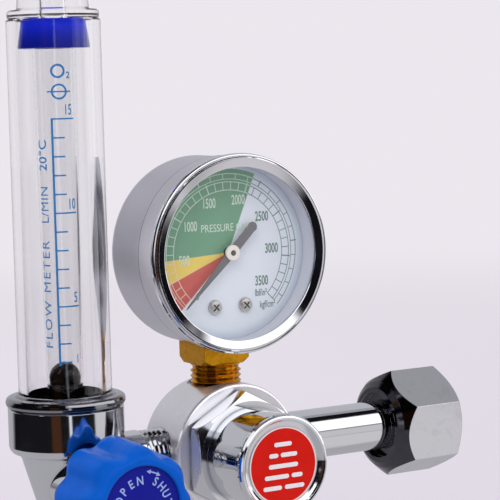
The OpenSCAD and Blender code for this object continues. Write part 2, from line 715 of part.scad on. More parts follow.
module gland_packing() color(white) at_valve() ring_y(4.57, spindle_r + run, -21.6, -17.25);

// circle with eight scallops
module knob_flat() {
  difference() {
    circle(r = knob_r);
    for (a = [0 : 45 : 315]) rotate(a + 22.5) translate([knob_r + 3.6, 0]) circle(r = 5.2);
  }
}

module flow_knob() color(blue) at_valve() difference() {
  intersection() {
    translate([0, -22.5, 0]) rotate([90, 0, 0]) linear_extrude(height = 20.7) knob_flat();
    turn_front([[0, 22.5], [knob_r - 0.9, 22.5], [knob_r + 0.1, 23.5], [knob_r + 0.1, 39.2],
      [knob_r - 0.5, 40.8], [knob_r - 1.8, 42.0], [knob_r - 3.6, 42.7],
      [label_r + 0.6, 43.0], [0, 43.2]]);
  }
  // disc recess, screw head recess, screw hole, spindle hole, gland recess
  rod_y(badge_r, -44, knob_front + 0.8);
  rod_y(3.0, -44, -38.9);
  rod_y(1.6, -44, -30);
  rod_y(spindle_r + 0.02, -37.9, -20);
  rod_y(11.0, -30.0, -20);
}

module knob_disc() color(darkblue) at_valve()
  ring_y(badge_r - 0.05, 0, knob_front, knob_front + 0.78);

module knob_screw() color(steel) at_valve() difference() {
  turn_front([[0, 29.6], [1.2, 29.6], [1.2, 38.95], [2.8, 38.95], [2.8, 40.2], [2.5, 40.6],
    [0, 40.6]]);
  for (a = [0, 90]) rotate([0, a, 0]) translate([-1.5, -41, -0.3]) cube([3, 1.2, 0.6]);
}

// ---------- outlet ----------
neck_r = 4.4;          // nipple neck through the nut

module outlet_nut() color(chrome) at_flow() difference() {
  intersection() {
    translate([0, 0, -31]) cylinder(r = corner_r(17), h = 14.2, $fn = 6);
    turn_z([[0, -31], [8.3, -31], [9.8, -30.0], [9.8, -17.8], [8.5, -16.8], [0, -16.8]]);
  }
  translate([0, 0, outlet_z0 - 4.1]) cylinder(r = boss_r + run, h = 12);
  translate([0, 0, -32]) cylinder(r = neck_r + run, h = 10);
}

// flange, neck, ring, plain length and barbs, from the top down
module hose_nipple() color(chrome) at_flow() difference() {
  top = outlet_z0 - 1.02;
  turn_z([[0, top], [5.2, top], [5.2, -25.9], [neck_r, -25.95], [neck_r, -33.0],
    [5.4, -33.2], [5.6, -33.5], [5.6, -34.3], [5.4, -34.6], [nipple_r, -34.6],
    [nipple_r, -41.0], [nipple_r - 0.6, -43.6], [nipple_r, -43.7], [nipple_r - 0.6, -46.3],
    [nipple_r, -46.4], [nipple_r - 0.7, -49.4], [nipple_r - 1.1, -50.0], [0, -50.0]]);
  translate([0, 0, -51]) cylinder(r = 2.0, h = 40);
}

module outlet_washer() color(black) at_flow() {
  low = outlet_z0 - 1.0;
  high = outlet_z0 - face_gap;
  turn_z([[3.1, low], [5.1, low], [5.1, high], [3.1, high]]);
}

// ---------- draw ----------
module from_thread() { translate([-thread_x, 0, 0]) children(); }

from_thread() valve_body();
from_thread() bonnet();
from_thread() bonnet_cap();
from_thread() cap_label();
from_thread() diaphragm();
from_thread() diaphragm_plate();
from_thread() main_spring();
from_thread() spring_button();
from_thread() adjusting_screw();
from_thread() seat_nozzle();
from_thread() valve_poppet();
from_thread() poppet_seat();
from_thread() poppet_spring();
from_thread() inlet_stem();
from_thread() inlet_nut();
from_thread() inlet_gasket();
from_thread() inlet_filter();
from_thread() gauge_case();
from_thread() gauge_bezel();
from_thread() gauge_window();
from_thread() window_gasket();
from_thread() gauge_dial();
from_thread() dial_screws();
from_thread() dial_posts();
from_thread() gauge_pointer();
from_thread() pointer_hub();
from_thread() pointer_arbor();
from_thread() gauge_socket();
from_thread() gauge_washer();
from_thread() bourdon_tube();
from_thread() tube_tip_lug();
from_thread() movement_plates();
from_thread() movement_pillars();
from_thread() movement_screws();
from_thread() sector_gear();
from_thread() movement_link();
from_thread() hairspring();
from_thread() flow_body();
from_thread() tube_collar();
from_thread() cover_tube();
from_thread() metering_tube();
from_thread() float_ball();
from_thread() float_stop();
from_thread() tube_seal();
from_thread() tube_cap();
from_thread() cover_oring();
from_thread() metering_oring();
from_thread() flow_spindle();
from_thread() gland_nut();
from_thread() gland_packing();
from_thread() flow_knob();
from_thread() knob_disc();
from_thread() knob_screw();
from_thread() outlet_nut();
from_thread() hose_nipple();
from_thread() outlet_washer();
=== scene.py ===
"""Gas regulator with a dial pressure gauge and a float flow meter.

X runs across the regulator, Z is up, and the dial, cap label and knob face -Y.
Lengths are in metres, except where a name, comment or docstring says mm.
"""
import bpy, bmesh, math
from mathutils import Vector, Matrix

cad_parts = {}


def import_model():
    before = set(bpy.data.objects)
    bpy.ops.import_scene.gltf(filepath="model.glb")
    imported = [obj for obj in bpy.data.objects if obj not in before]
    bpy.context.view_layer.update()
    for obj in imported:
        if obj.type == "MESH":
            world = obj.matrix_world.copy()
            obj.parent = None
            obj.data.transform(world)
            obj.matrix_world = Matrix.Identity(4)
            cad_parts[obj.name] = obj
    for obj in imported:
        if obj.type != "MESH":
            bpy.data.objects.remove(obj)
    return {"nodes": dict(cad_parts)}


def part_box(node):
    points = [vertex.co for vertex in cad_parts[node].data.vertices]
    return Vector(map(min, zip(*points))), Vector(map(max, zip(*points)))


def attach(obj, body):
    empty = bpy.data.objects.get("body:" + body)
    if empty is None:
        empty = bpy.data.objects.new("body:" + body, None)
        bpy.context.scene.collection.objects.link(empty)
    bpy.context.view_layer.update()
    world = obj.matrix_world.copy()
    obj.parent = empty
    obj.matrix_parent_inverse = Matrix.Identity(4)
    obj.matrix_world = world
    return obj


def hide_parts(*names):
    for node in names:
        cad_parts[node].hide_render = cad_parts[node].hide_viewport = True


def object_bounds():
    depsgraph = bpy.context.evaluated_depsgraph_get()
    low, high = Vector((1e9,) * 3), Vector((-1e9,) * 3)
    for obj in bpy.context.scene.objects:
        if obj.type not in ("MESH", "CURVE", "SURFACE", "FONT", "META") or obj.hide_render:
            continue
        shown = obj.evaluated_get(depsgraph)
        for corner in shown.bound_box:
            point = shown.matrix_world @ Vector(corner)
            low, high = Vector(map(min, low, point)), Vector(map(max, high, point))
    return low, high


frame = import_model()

CAD_BOX = [list(v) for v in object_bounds()]
MM = 0.001
TO_DEGREES = 180.0 / math.pi
scene = bpy.context.scene


# ---------------------------------------------------------------- places read from the frame
def middle(name, axis):
    low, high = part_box(name)
    return (getattr(low, axis) + getattr(high, axis)) / 2


GAUGE_X = middle("gauge_bezel", "x")
GAUGE_Z = middle("gauge_bezel", "z")
SEAM_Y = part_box("gauge_bezel")[1].y         # back of the bezel, where it meets the case
DIAL_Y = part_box("gauge_dial")[0].y
FLOW_X = middle("float_ball", "x")
KNOB_LOW, KNOB_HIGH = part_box("flow_knob")
KNOB_Z = (KNOB_LOW.z + KNOB_HIGH.z) / 2
BADGE_FRONT, BADGE_BACK = (corner.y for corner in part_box("knob_disc"))
LABEL_X = middle("cap_label", "x")
LABEL_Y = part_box("cap_label")[0].y
LABEL_Z = middle("cap_label", "z")

# Gauge scale: degrees counter-clockwise from +X, and readings in lbf/in2
ZERO_ANGLE = 225.0
DEGREES_PER_UNIT = 270.0 / 3500.0
RED_END, YELLOW_END, GREEN_END = 290.0, 535.0, 2045.0

# Printed films, used for all the lettering
FILM_THICKNESS = 0.00004
FILM_LIFT_MM = 0.04


# ---------------------------------------------------------------- shader graph helpers
def operator(kind, swapped=False):
    def apply(self, other):
        pair = (other, self) if swapped else (self, other)
        return self.graph.math(kind, *pair)
    return apply


class Value:
    """An output socket; arithmetic on it adds Math nodes to its graph."""
    def __init__(self, graph, socket):
        self.graph, self.socket = graph, socket

    __add__ = operator("ADD")
    __radd__ = operator("ADD", swapped=True)
    __sub__ = operator("SUBTRACT")
    __rsub__ = operator("SUBTRACT", swapped=True)
    __mul__ = operator("MULTIPLY")
    __truediv__ = operator("DIVIDE")
    __mod__ = operator("FLOORED_MODULO")

    def __abs__(self):
        return self.graph.math("ABSOLUTE", self)


class Graph:
    def __init__(self, tree):
        self.tree = tree
        tree.nodes.clear()

    def put(self, socket, value):
        """Links or sets an input; None leaves it alone, and a colour gains its alpha."""
        if isinstance(value, Value):
            self.tree.links.new(value.socket, socket)
        elif isinstance(value, tuple):
            alpha = (1.0,) if len(socket.default_value) > len(value) else ()
            socket.default_value = value + alpha
        elif value is not None:
            socket.default_value = value

    def add(self, kind, inputs, **settings):
        """Adds a node; inputs maps socket names or places to values."""
        node = self.tree.nodes.new("ShaderNode" + kind)
        for key, value in settings.items():
            setattr(node, key, value)
        for key, value in inputs.items():
            self.put(node.inputs[key], value)
        return node

    def make(self, kind, inputs, output=0, **settings):
        """Adds a node and returns one of its outputs."""
        return Value(self, self.add(kind, inputs, **settings).outputs[output])

    def math(self, kind, first, second=None):
        return self.make("Math", {0: first, 1: second}, operation=kind)

    def stretch(self, point, factors):
        return self.make("VectorMath", {0: point, 1: factors}, operation="MULTIPLY")

    def mix(self, factor, first, second):
        return self.make("Mix", {0: factor, 6: first, 7: second}, output=2, data_type="RGBA")

    def mix_shader(self, factor, first, second):
        return self.make("MixShader", {0: factor, 1: first, 2: second})

    def noise(self, point, scale, detail=3.0, rough=0.55, distortion=0.0):
        return self.make("TexNoise", {"Vector": point, "Scale": scale, "Detail": detail,
                                      "Roughness": rough, "Distortion": distortion})

    def cells(self, point, scale):
        return self.make("TexVoronoi", {"Vector": point, "Scale": scale}, "Distance")

    def ramp(self, factor, low, high):
        """Rises from 0 at low to 1 at high."""
        node = self.add("ValToRGB", {0: factor})
        stops = node.color_ramp.elements
        stops[0].position = low
        stops[1].position = high
        return Value(self, node.outputs[0])

    def step(self, value, edge, width):
        """Goes smoothly from 0 to 1 as value passes edge."""
        return self.make("MapRange", {0: value, 1: edge - width, 2: edge + width},
                         interpolation_type="SMOOTHSTEP")

    def band(self, value, low, high, width):
        """1 between low and high, with soft ends."""
        return self.step(value, low, width) * (1.0 - self.step(value, high, width))

    def position(self):
        return self.make("TexCoord", {}, "Object")

    def xyz(self, vector):
        node = self.add("SeparateXYZ", {0: vector})
        return [Value(self, socket) for socket in node.outputs]

    def bump(self, height, strength, distance, normal=None):
        return self.make("Bump", {"Height": height, "Strength": strength,
                                  "Distance": distance, "Normal": normal})

    def bevel(self, radius):
        return self.make("Bevel", {0: radius}, samples=4)

    def exposure(self, distance, low, high):
        """0 in crevices, 1 in the open."""
        occlusion = self.make("AmbientOcclusion", {"Distance": distance}, "AO", samples=4)
        return self.ramp(occlusion, low, high)

    def light_path(self, name):
        return self.make("LightPath", {}, name)

    def bsdf(self, **inputs):
        named = {key.replace("_", " "): value for key, value in inputs.items()}
        return self.make("BsdfPrincipled", named)

    def surface(self, shader):
        self.add("OutputMaterial", {0: shader})


def new_material(name):
    made = bpy.data.materials.new(name)
    made.use_nodes = True
    return made, Graph(made.node_tree)


def assign(piece, material):
    piece.data.materials.clear()
    piece.data.materials.append(material)


def scaled(color, *factors):
    """The colour times one factor, or times one factor for each channel."""
    return tuple(part * factor for part, factor in zip(color, factors * 3))


# ---------------------------------------------------------------- material families
# base: colour, rough: roughness, edge: radius of the shaded bevel
def chrome(name, base=(0.80, 0.81, 0.835), rough=0.045, edge=0.00018, cast=0.0, seed=0.0,
           matte=0.0, stains_and_painted_dark_side=False, seam=None, satin_from=None):
    """Plating. cast: casting relief, seed: pattern shift, matte: non-metal share,
    seam: y of a dark line, satin_from: y behind which a seamed piece turns satin."""
    made, graph = new_material(name)
    point = graph.make("VectorMath", {0: graph.position(), 1: (seed, seed * 0.7, -seed)},
                       operation="ADD")
    haze = graph.noise(point, scale=140.0, detail=5.0, rough=0.6)
    smear = graph.noise(graph.stretch(point, (1.0, 1.0, 4.0)), scale=420.0, detail=4.0,
                        rough=0.65, distortion=0.6)
    fine = graph.noise(graph.stretch(point, (9.0, 1.0, 1.0)), scale=2600.0, detail=2.0,
                       rough=0.5)
    specks = 1.0 - graph.step(graph.cells(point, scale=900.0), edge=0.10, width=0.05)
    roughness = (rough + graph.ramp(haze, low=0.42, high=0.75) * 0.045
                 + graph.ramp(smear, low=0.55, high=0.8) * 0.05 + specks * 0.06)
    # painted shade: the plating is darkened to grey in crevices
    color = graph.mix(graph.exposure(distance=0.0016, low=0.25, high=0.85),
                      scaled(base, 0.34, 0.34, 0.36), base)
    color = graph.mix(graph.ramp(haze, low=0.5, high=0.9) * 0.25, color,
                      scaled(base, 0.93, 0.93, 0.96))
    raised = max(0.0, cast)
    normal = graph.bump(haze * (0.5 + cast) + fine * 0.03, strength=0.10 + 0.35 * raised,
                        distance=0.00006 + 0.00020 * raised, normal=graph.bevel(edge))
    if stains_and_painted_dark_side:
        # uneven, pitted plating
        swell = graph.noise(graph.stretch(point, (1.0, 1.0, 1.0)), scale=95.0, detail=2.0,
                            rough=0.5)
        normal = graph.bump(swell, strength=0.10, distance=0.0012, normal=normal)
        stain = graph.ramp(graph.noise(point, scale=210.0, detail=6.0, rough=0.68,
                                       distortion=0.8), low=0.50, high=0.74)
        pits = 1.0 - graph.step(graph.cells(point, scale=420.0), edge=0.075, width=0.03)
        color = graph.mix(stain * 0.30, color, scaled(base, 0.62, 0.60, 0.60))
        color = graph.mix(pits * stain * 0.7, color, scaled(base, 0.30, 0.29, 0.28))
        roughness = roughness + stain * 0.06
        # painted reflection: faces turned towards -X are darkened, standing in for the dark
        # surroundings they reflect
        facing_x = graph.xyz(graph.make("NewGeometry", {}, "Normal"))[0]
        color = graph.mix(graph.step(facing_x * -1.0, edge=0.38, width=0.10), color,
                          graph.mix(haze, (0.060, 0.060, 0.070), (0.105, 0.105, 0.118)))
    if seam is not None:
        y = graph.xyz(graph.position())[1]
        if satin_from is not None:
            satin = (0.77, 0.76, 0.81)
            behind = graph.step(y, edge=satin_from, width=0.00012)
            color = graph.mix(behind, color, graph.mix(haze, scaled(satin, 0.94), satin))
            roughness = roughness * (1.0 - behind) + behind * (0.26 + haze * 0.08)
        line = graph.band(y, low=seam - 0.00034, high=seam + 0.00030, width=0.00008)
        color = graph.mix(line * 0.88, color, (0.05, 0.05, 0.055))
    graph.surface(graph.bsdf(Base_Color=color, Metallic=1.0 - matte, Roughness=roughness,
                             Normal=normal))
    return made


def brass(name, base, rough):
    """Copper alloys with turning lines and tarnish."""
    made, graph = new_material(name)
    point = graph.position()
    x, y, z = graph.xyz(point)
    along_z = graph.make("CombineXYZ", {0: x * 0.05, 1: y * 0.05, 2: z})
    lines = graph.noise(along_z, scale=9000.0, detail=2.0)
    cloud = graph.noise(point, scale=260.0, detail=5.0, rough=0.6)
    tarnish = graph.ramp(graph.noise(point, scale=700.0, detail=6.0, rough=0.7,
                                     distortion=0.5), low=0.45, high=0.72)
    color = graph.mix(cloud, base, scaled(base, 1.12, 1.2, 1.35))
    color = graph.mix(tarnish * 0.35, color, scaled(base, 0.55, 0.42, 0.35))
    # darker brown in crevices, from ambient occlusion
    color = graph.mix(graph.exposure(distance=0.0022, low=0.15, high=0.9),
                      scaled(base, 0.22, 0.16, 0.10), color)
    normal = graph.bump(lines * 0.6 + cloud * 0.4, strength=0.22, distance=0.00005,
                        normal=graph.bevel(0.00015))
    graph.surface(graph.bsdf(Base_Color=color, Metallic=1.0, Roughness=rough + tarnish * 0.16,
                             Normal=normal))
    return made


def steel(name, base=(0.56, 0.57, 0.59), rough=0.24):
    made, graph = new_material(name)
    point = graph.position()
    cloud = graph.noise(point, scale=500.0, detail=4.0)
    lines = graph.noise(graph.stretch(point, (1.0, 14.0, 1.0)), scale=2500.0, detail=2.0)
    color = graph.mix(cloud, scaled(base, 0.8), base)
    # painted shade: the steel is darkened almost to black in crevices
    color = graph.mix(graph.exposure(distance=0.001, low=0.2, high=0.9),
                      (0.05, 0.045, 0.04), color)
    normal = graph.bump(lines, strength=0.15, distance=0.00003, normal=graph.bevel(0.0001))
    graph.surface(graph.bsdf(Base_Color=color, Metallic=1.0, Roughness=rough + cloud * 0.14,
                             Normal=normal))
    return made


def plastic(name, base, rough, coat, peel, var, wear=0.35, edge=0.0002, spec=0.4):
    """peel: surface relief, var: colour variation, wear: scratches, spec: specular level."""
    made, graph = new_material(name)
    point = graph.position()
    cloud = graph.noise(point, scale=160.0, detail=4.0)
    grain = graph.noise(point, scale=2200.0, detail=3.0)
    scratches = graph.ramp(graph.noise(graph.stretch(point, (1.0, 1.0, 22.0)), scale=900.0,
                                       detail=3.0, rough=0.7, distortion=1.2),
                           low=0.60, high=0.70)
    light = tuple(part * (1 + var) + 0.004 for part in base)
    color = graph.mix(cloud, scaled(base, 1 - var * 1.6), light)
    # painted shade: the plastic is darkened in crevices
    color = graph.mix(graph.exposure(distance=0.0014, low=0.2, high=0.8),
                      scaled(base, 0.35), color)
    normal = graph.bump(grain + scratches * (0.3 * wear), strength=peel, distance=0.00006,
                        normal=graph.bevel(edge))
    graph.surface(graph.bsdf(
        Base_Color=color, Roughness=rough + (cloud * 0.08 + scratches * (0.10 * wear)),
        Normal=normal, Coat_Weight=coat, Coat_Roughness=0.08, Specular_IOR_Level=spec))
    return made


def rubber(name, base):
    made, graph = new_material(name)
    point = graph.position()
    cloud = graph.noise(point, scale=300.0, detail=5.0)
    grain = graph.noise(point, scale=3000.0, detail=2.0)
    color = graph.mix(cloud, base, tuple(part * 2.2 + 0.004 for part in base))
    normal = graph.bump(grain, strength=0.3, distance=0.00005, normal=graph.bevel(0.00015))
    graph.surface(graph.bsdf(Base_Color=color, Roughness=0.5 + cloud * 0.2, Normal=normal))
    return made


def clear(name, tint, ior, frost, rough=0.0, streaks=True):
    """Clear plastic that lets shadow and diffuse rays straight through."""
    made, graph = new_material(name)
    point = graph.position()
    haze = graph.noise(graph.stretch(point, (3.0, 3.0, 0.6)), scale=180.0, detail=5.0,
                       rough=0.65)
    roughness = rough + graph.ramp(haze, low=0.5, high=0.85) * frost
    normal = None
    if streaks:
        scratches = graph.ramp(graph.noise(graph.stretch(point, (18.0, 18.0, 1.0)),
                                           scale=220.0, detail=4.0, rough=0.7,
                                           distortion=0.4), low=0.60, high=0.74)
        roughness = roughness + scratches * (frost * 0.8)
        normal = graph.bump(haze + scratches * 0.2, strength=0.05, distance=0.00004)
    body = graph.bsdf(Base_Color=tint, Roughness=roughness, IOR=ior, Transmission_Weight=1.0,
                      Normal=normal)
    soft_ray = graph.math("MAXIMUM", graph.light_path("Is Shadow Ray"),
                          graph.light_path("Is Diffuse Ray"))
    graph.surface(graph.mix_shader(graph.math("MAXIMUM", soft_ray, 0.0), body,
                                   graph.make("BsdfTransparent", {0: tint})))
    return made


def ink(name, base):
    made, graph = new_material(name)
    blotch = graph.noise(graph.position(), scale=2600.0, detail=4.0)
    light = tuple(part * 1.12 + 0.01 for part in base)
    graph.surface(graph.bsdf(
        Base_Color=graph.mix(blotch, scaled(base, 0.88), light),
        Roughness=0.45 + blotch * 0.1,
        Normal=graph.bump(blotch, strength=0.08, distance=0.00002)))
    return made


# ---------------------------------------------------------------- printed faces
def offsets_mm(graph, center_x, center_z):
    """Offsets right and up from a centre and the distance from it, in mm."""
    x, y, z = graph.xyz(graph.position())
    right = (x - center_x) * 1000.0
    up = (z - center_z) * 1000.0
    return right, up, graph.math("SQRT", right * right + up * up)


def dial_material():
    """Coloured sectors, arcs and ticks in polar coordinates about the pointer."""
    made, graph = new_material("dial_print")
    right, up, radius = offsets_mm(graph, GAUGE_X, GAUGE_Z)
    degrees = graph.math("ARCTAN2", up, right) * TO_DEGREES
    reading = (ZERO_ANGLE - degrees) % 360.0 / DEGREES_PER_UNIT
    point = graph.position()
    cloud = graph.noise(point, scale=220.0, detail=4.0)
    grain = graph.noise(point, scale=2400.0, detail=3.0)
    color = graph.mix(cloud, (0.76, 0.83, 0.865), (0.80, 0.86, 0.895))
    # painted shade: the dial turns darker bluish grey towards its rim beside the bezel
    color = graph.mix(graph.step(radius, edge=21.9, width=1.6) * 0.55, color,
                      (0.42, 0.50, 0.62))
    inside = 1.0 - graph.step(radius, edge=22.6, width=0.06)
    # sectors: first reading, last reading, darker and lighter colour
    for low, high, dark, light in (
            (YELLOW_END, GREEN_END, (0.150, 0.355, 0.205), (0.180, 0.395, 0.235)),
            (RED_END, YELLOW_END, (0.86, 0.64, 0.10), (0.90, 0.70, 0.15)),
            (0.0, RED_END, (0.62, 0.10, 0.075), (0.68, 0.125, 0.10))):
        color = graph.mix(inside * graph.band(reading, low, high, width=6.0), color,
                          graph.mix(cloud, dark, light))
    on_scale = graph.band(reading, low=-4.0, high=3504.0, width=3.0)
    # ink is dark on white, pale green on the sectors, and tan on red and yellow
    ink_color = graph.mix(graph.band(reading, low=-10.0, high=GREEN_END, width=10.0),
                          (0.12, 0.20, 0.17), (0.62, 0.78, 0.62))
    ink_color = graph.mix(graph.band(reading, low=-30.0, high=YELLOW_END, width=5.0),
                          ink_color, (0.85, 0.66, 0.48))
    soft = 0.05

    def arc(middle_radius, line):
        return on_scale * graph.band(radius, middle_radius - line / 2,
                                     middle_radius + line / 2, soft)

    def ticks(spacing, inner, outer, line):
        off = abs((reading + spacing / 2) % spacing - spacing / 2)
        distance = off * (DEGREES_PER_UNIT * math.pi / 180.0) * radius
        across = 1.0 - graph.step(distance, line / 2, soft)
        return across * on_scale * graph.band(radius, inner, outer, soft)

    mask = arc(16.9, 0.24)
    marks = [arc(*row) for row in ((19.1, 0.24), (19.85, 0.20), (21.3, 0.24))]
    # spacing in scale units, inner and outer radius and line width in mm
    marks += [ticks(*row) for row in (
        (100.0, 16.9, 19.1, 0.24), (500.0, 16.9, 19.6, 0.34),
        (142.233, 19.85, 21.3, 0.24), (711.17, 19.85, 21.7, 0.32))]
    for mark in marks:
        mask = graph.math("MAXIMUM", mask, mark)
    color = graph.mix(mask * 0.9, color, ink_color)
    dust = graph.ramp(grain, low=0.55, high=0.8) * 0.10
    color = graph.mix(dust, color, (0.75, 0.78, 0.80))
    graph.surface(graph.bsdf(Base_Color=color, Roughness=0.42 + cloud * 0.1,
                             Normal=graph.bump(grain, strength=0.06, distance=0.00003)))
    return made


def label_material():
    """Red disc with a pale rim."""
    made, graph = new_material("cap_label_print")
    radius = offsets_mm(graph, LABEL_X, LABEL_Z)[2]
    cloud = graph.noise(graph.position(), scale=300.0, detail=4.0)
    grain = graph.noise(graph.position(), scale=3000.0, detail=3.0)
    red = graph.mix(cloud, (0.58, 0.008, 0.004), (0.68, 0.016, 0.008))
    color = graph.mix(graph.step(radius, edge=9.88, width=0.06), red, (0.82, 0.72, 0.70))
    graph.surface(graph.bsdf(Base_Color=color, Roughness=0.32 + cloud * 0.12,
                             Normal=graph.bump(grain, strength=0.07, distance=0.00003),
                             Specular_IOR_Level=0.06))
    return made


# ---------------------------------------------------------------- finish of each frame piece
NUT = dict(base=(0.80, 0.80, 0.83), rough=0.07, cast=0.08)
CLEAR_TINT = (0.985, 0.985, 0.988)
FINISHES = [
    (chrome("chrome_plate"), "bonnet bonnet_cap inlet_stem hose_nipple"),
    (chrome("chrome_on_casting", cast=0.10, rough=0.055, seed=0.31), "flow_body"),
    (chrome("chrome_body_satin", base=(0.88, 0.865, 0.895), cast=0.06, rough=0.22, seed=0.9,
            matte=0.17), "valve_body"),
    (chrome("chrome_gauge_case", base=(0.735, 0.725, 0.785), cast=-0.35, rough=0.30,
            edge=0.0003, seed=1.9, seam=SEAM_Y), "gauge_case"),
    (chrome("chrome_nut", edge=0.00035, seed=0.7, stains_and_painted_dark_side=True, **NUT), "inlet_nut"),
    (chrome("chrome_small_nut", edge=0.0003, seed=2.9, **NUT), "gland_nut outlet_nut"),
    (chrome("chrome_gauge", base=(0.82, 0.82, 0.85), rough=0.028, edge=0.00012, seed=1.3,
            seam=SEAM_Y, satin_from=-0.0139), "gauge_bezel"),
    (chrome("chrome_collar", base=(0.34, 0.34, 0.36), rough=0.06, cast=0.10, edge=0.00025,
            seed=2.2), "tube_collar"),
    (brass("brass_machined", base=(0.83, 0.37, 0.014), rough=0.19),
     "gauge_socket diaphragm_plate spring_button seat_nozzle valve_poppet"),
    (brass("brass_movement", base=(0.70, 0.47, 0.16), rough=0.26),
     "dial_posts bourdon_tube tube_tip_lug movement_plates movement_pillars sector_gear"),
    (brass("copper_washer", base=(0.62, 0.26, 0.13), rough=0.3), "gauge_washer"),
    (brass("sintered_bronze", base=(0.36, 0.22, 0.09), rough=0.55), "inlet_filter"),
    (steel("turned_steel"),
     "adjusting_screw movement_screws movement_link flow_spindle knob_screw"),
    (steel("nickel_screw", base=(0.92, 0.89, 0.85), rough=0.42), "dial_screws"),
    (steel("arbor_dark", base=(0.22, 0.21, 0.20), rough=0.35), "pointer_arbor"),
    (steel("spring_wire", base=(0.42, 0.43, 0.46), rough=0.3),
     "main_spring poppet_spring hairspring"),
    (plastic("float_black", base=(0.002, 0.002, 0.003), rough=0.18, coat=0.12, peel=0.04,
             var=0.05, wear=0.1), "float_ball"),
    (plastic("stop_natural_nylon", base=(0.72, 0.74, 0.76), rough=0.35, coat=0.1, peel=0.06,
             var=0.03), "float_stop"),
    (clear("cap_frosted_clear", tint=(0.985, 0.985, 0.99), ior=1.36, rough=0.10, frost=0.10,
           streaks=False), "tube_cap"),
    (plastic("seal_blue", base=(0.0008, 0.014, 0.58), rough=0.22, coat=0.1, peel=0.06,
             var=0.08, spec=0.2), "tube_seal"),
    (plastic("knob_blue", base=(0.0004, 0.104, 0.55), rough=0.20, coat=0.06, peel=0.10,
             var=0.12, spec=0.04), "flow_knob"),
    (plastic("badge_blue", base=(0.003, 0.006, 0.27), rough=0.35, coat=0.0, peel=0.05,
             var=0.05, spec=0.15), "knob_disc"),
    (plastic("white_fluoropolymer", base=(0.80, 0.80, 0.78), rough=0.42, coat=0.0, peel=0.1,
             var=0.04), "poppet_seat inlet_gasket gland_packing"),
    (plastic("spacer_ring", base=(0.62, 0.64, 0.70), rough=0.38, coat=0.1, peel=0.06,
             var=0.05), "window_gasket"),
    (plastic("pointer_hub_cream", base=(0.86, 0.83, 0.72), rough=0.28, coat=0.2, peel=0.05,
             var=0.04, edge=0.0001), "pointer_hub"),
    (plastic("pointer_grey", base=(0.17, 0.17, 0.175), rough=0.40, coat=0.05, peel=0.1,
             var=0.1, edge=0.00005), "gauge_pointer"),
    (rubber("seal_rubber", base=(0.018, 0.018, 0.02)),
     "cover_oring metering_oring outlet_washer"),
    (rubber("diaphragm_rubber", base=(0.03, 0.028, 0.026)), "diaphragm"),
    (clear("cover_tube_clear", tint=CLEAR_TINT, ior=1.50, frost=0.018), "cover_tube"),
    (clear("metering_tube_clear", tint=CLEAR_TINT, ior=1.42, frost=0.012), "metering_tube"),
    (clear("window_clear", tint=(0.985, 0.99, 0.995), ior=1.38, frost=0.01, streaks=False),
     "gauge_window"),
    (dial_material(), "gauge_dial"),
    (label_material(), "cap_label"),
]
FINISH_OF = {name: material for material, names in FINISHES for name in names.split()}
for name, piece in frame["nodes"].items():
    assign(piece, FINISH_OF[name])


# ---------------------------------------------------------------- new pieces
def mesh_piece(name, points, faces, material, body, smooth=False):
    mesh = bpy.data.meshes.new(name)
    mesh.from_pydata(points, [], faces)
    mesh.validate()
    piece = bpy.data.objects.new(name, mesh)
    scene.collection.objects.link(piece)
    assign(piece, material)
    if smooth:
        for face in mesh.polygons:
            face.use_smooth = True
    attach(piece, body)
    return piece


def text_mesh(words, size, bold, spacing):
    """Points (x, y) and faces of a flat, centred text."""
    curve = bpy.data.curves.new("lettering", "FONT")
    curve.body = words
    curve.size = size
    curve.align_x = "CENTER"
    curve.align_y = "CENTER"
    curve.space_character = spacing
    curve.offset = bold
    curve.resolution_u = 4
    holder = bpy.data.objects.new("lettering", curve)
    scene.collection.objects.link(holder)
    bpy.context.view_layer.update()
    mesh = bmesh.new()
    mesh.from_mesh(holder.to_mesh())
    # long edges are cut so that lettering can wrap round a tube
    long_edges = [edge for edge in mesh.edges if edge.calc_length() > size * 0.3]
    bmesh.ops.subdivide_edges(mesh, edges=long_edges, cuts=3)
    bmesh.ops.triangulate(mesh, faces=mesh.faces)
    points = [(vert.co.x, vert.co.y) for vert in mesh.verts]
    faces = [[vert.index for vert in face.verts] for face in mesh.faces]
    mesh.free()
    holder.to_mesh_clear()
    bpy.data.objects.remove(holder)
    bpy.data.curves.remove(curve)
    return points, faces


def polar(radius, degrees):
    angle = math.radians(degrees)
    return radius * math.cos(angle), radius * math.sin(angle)


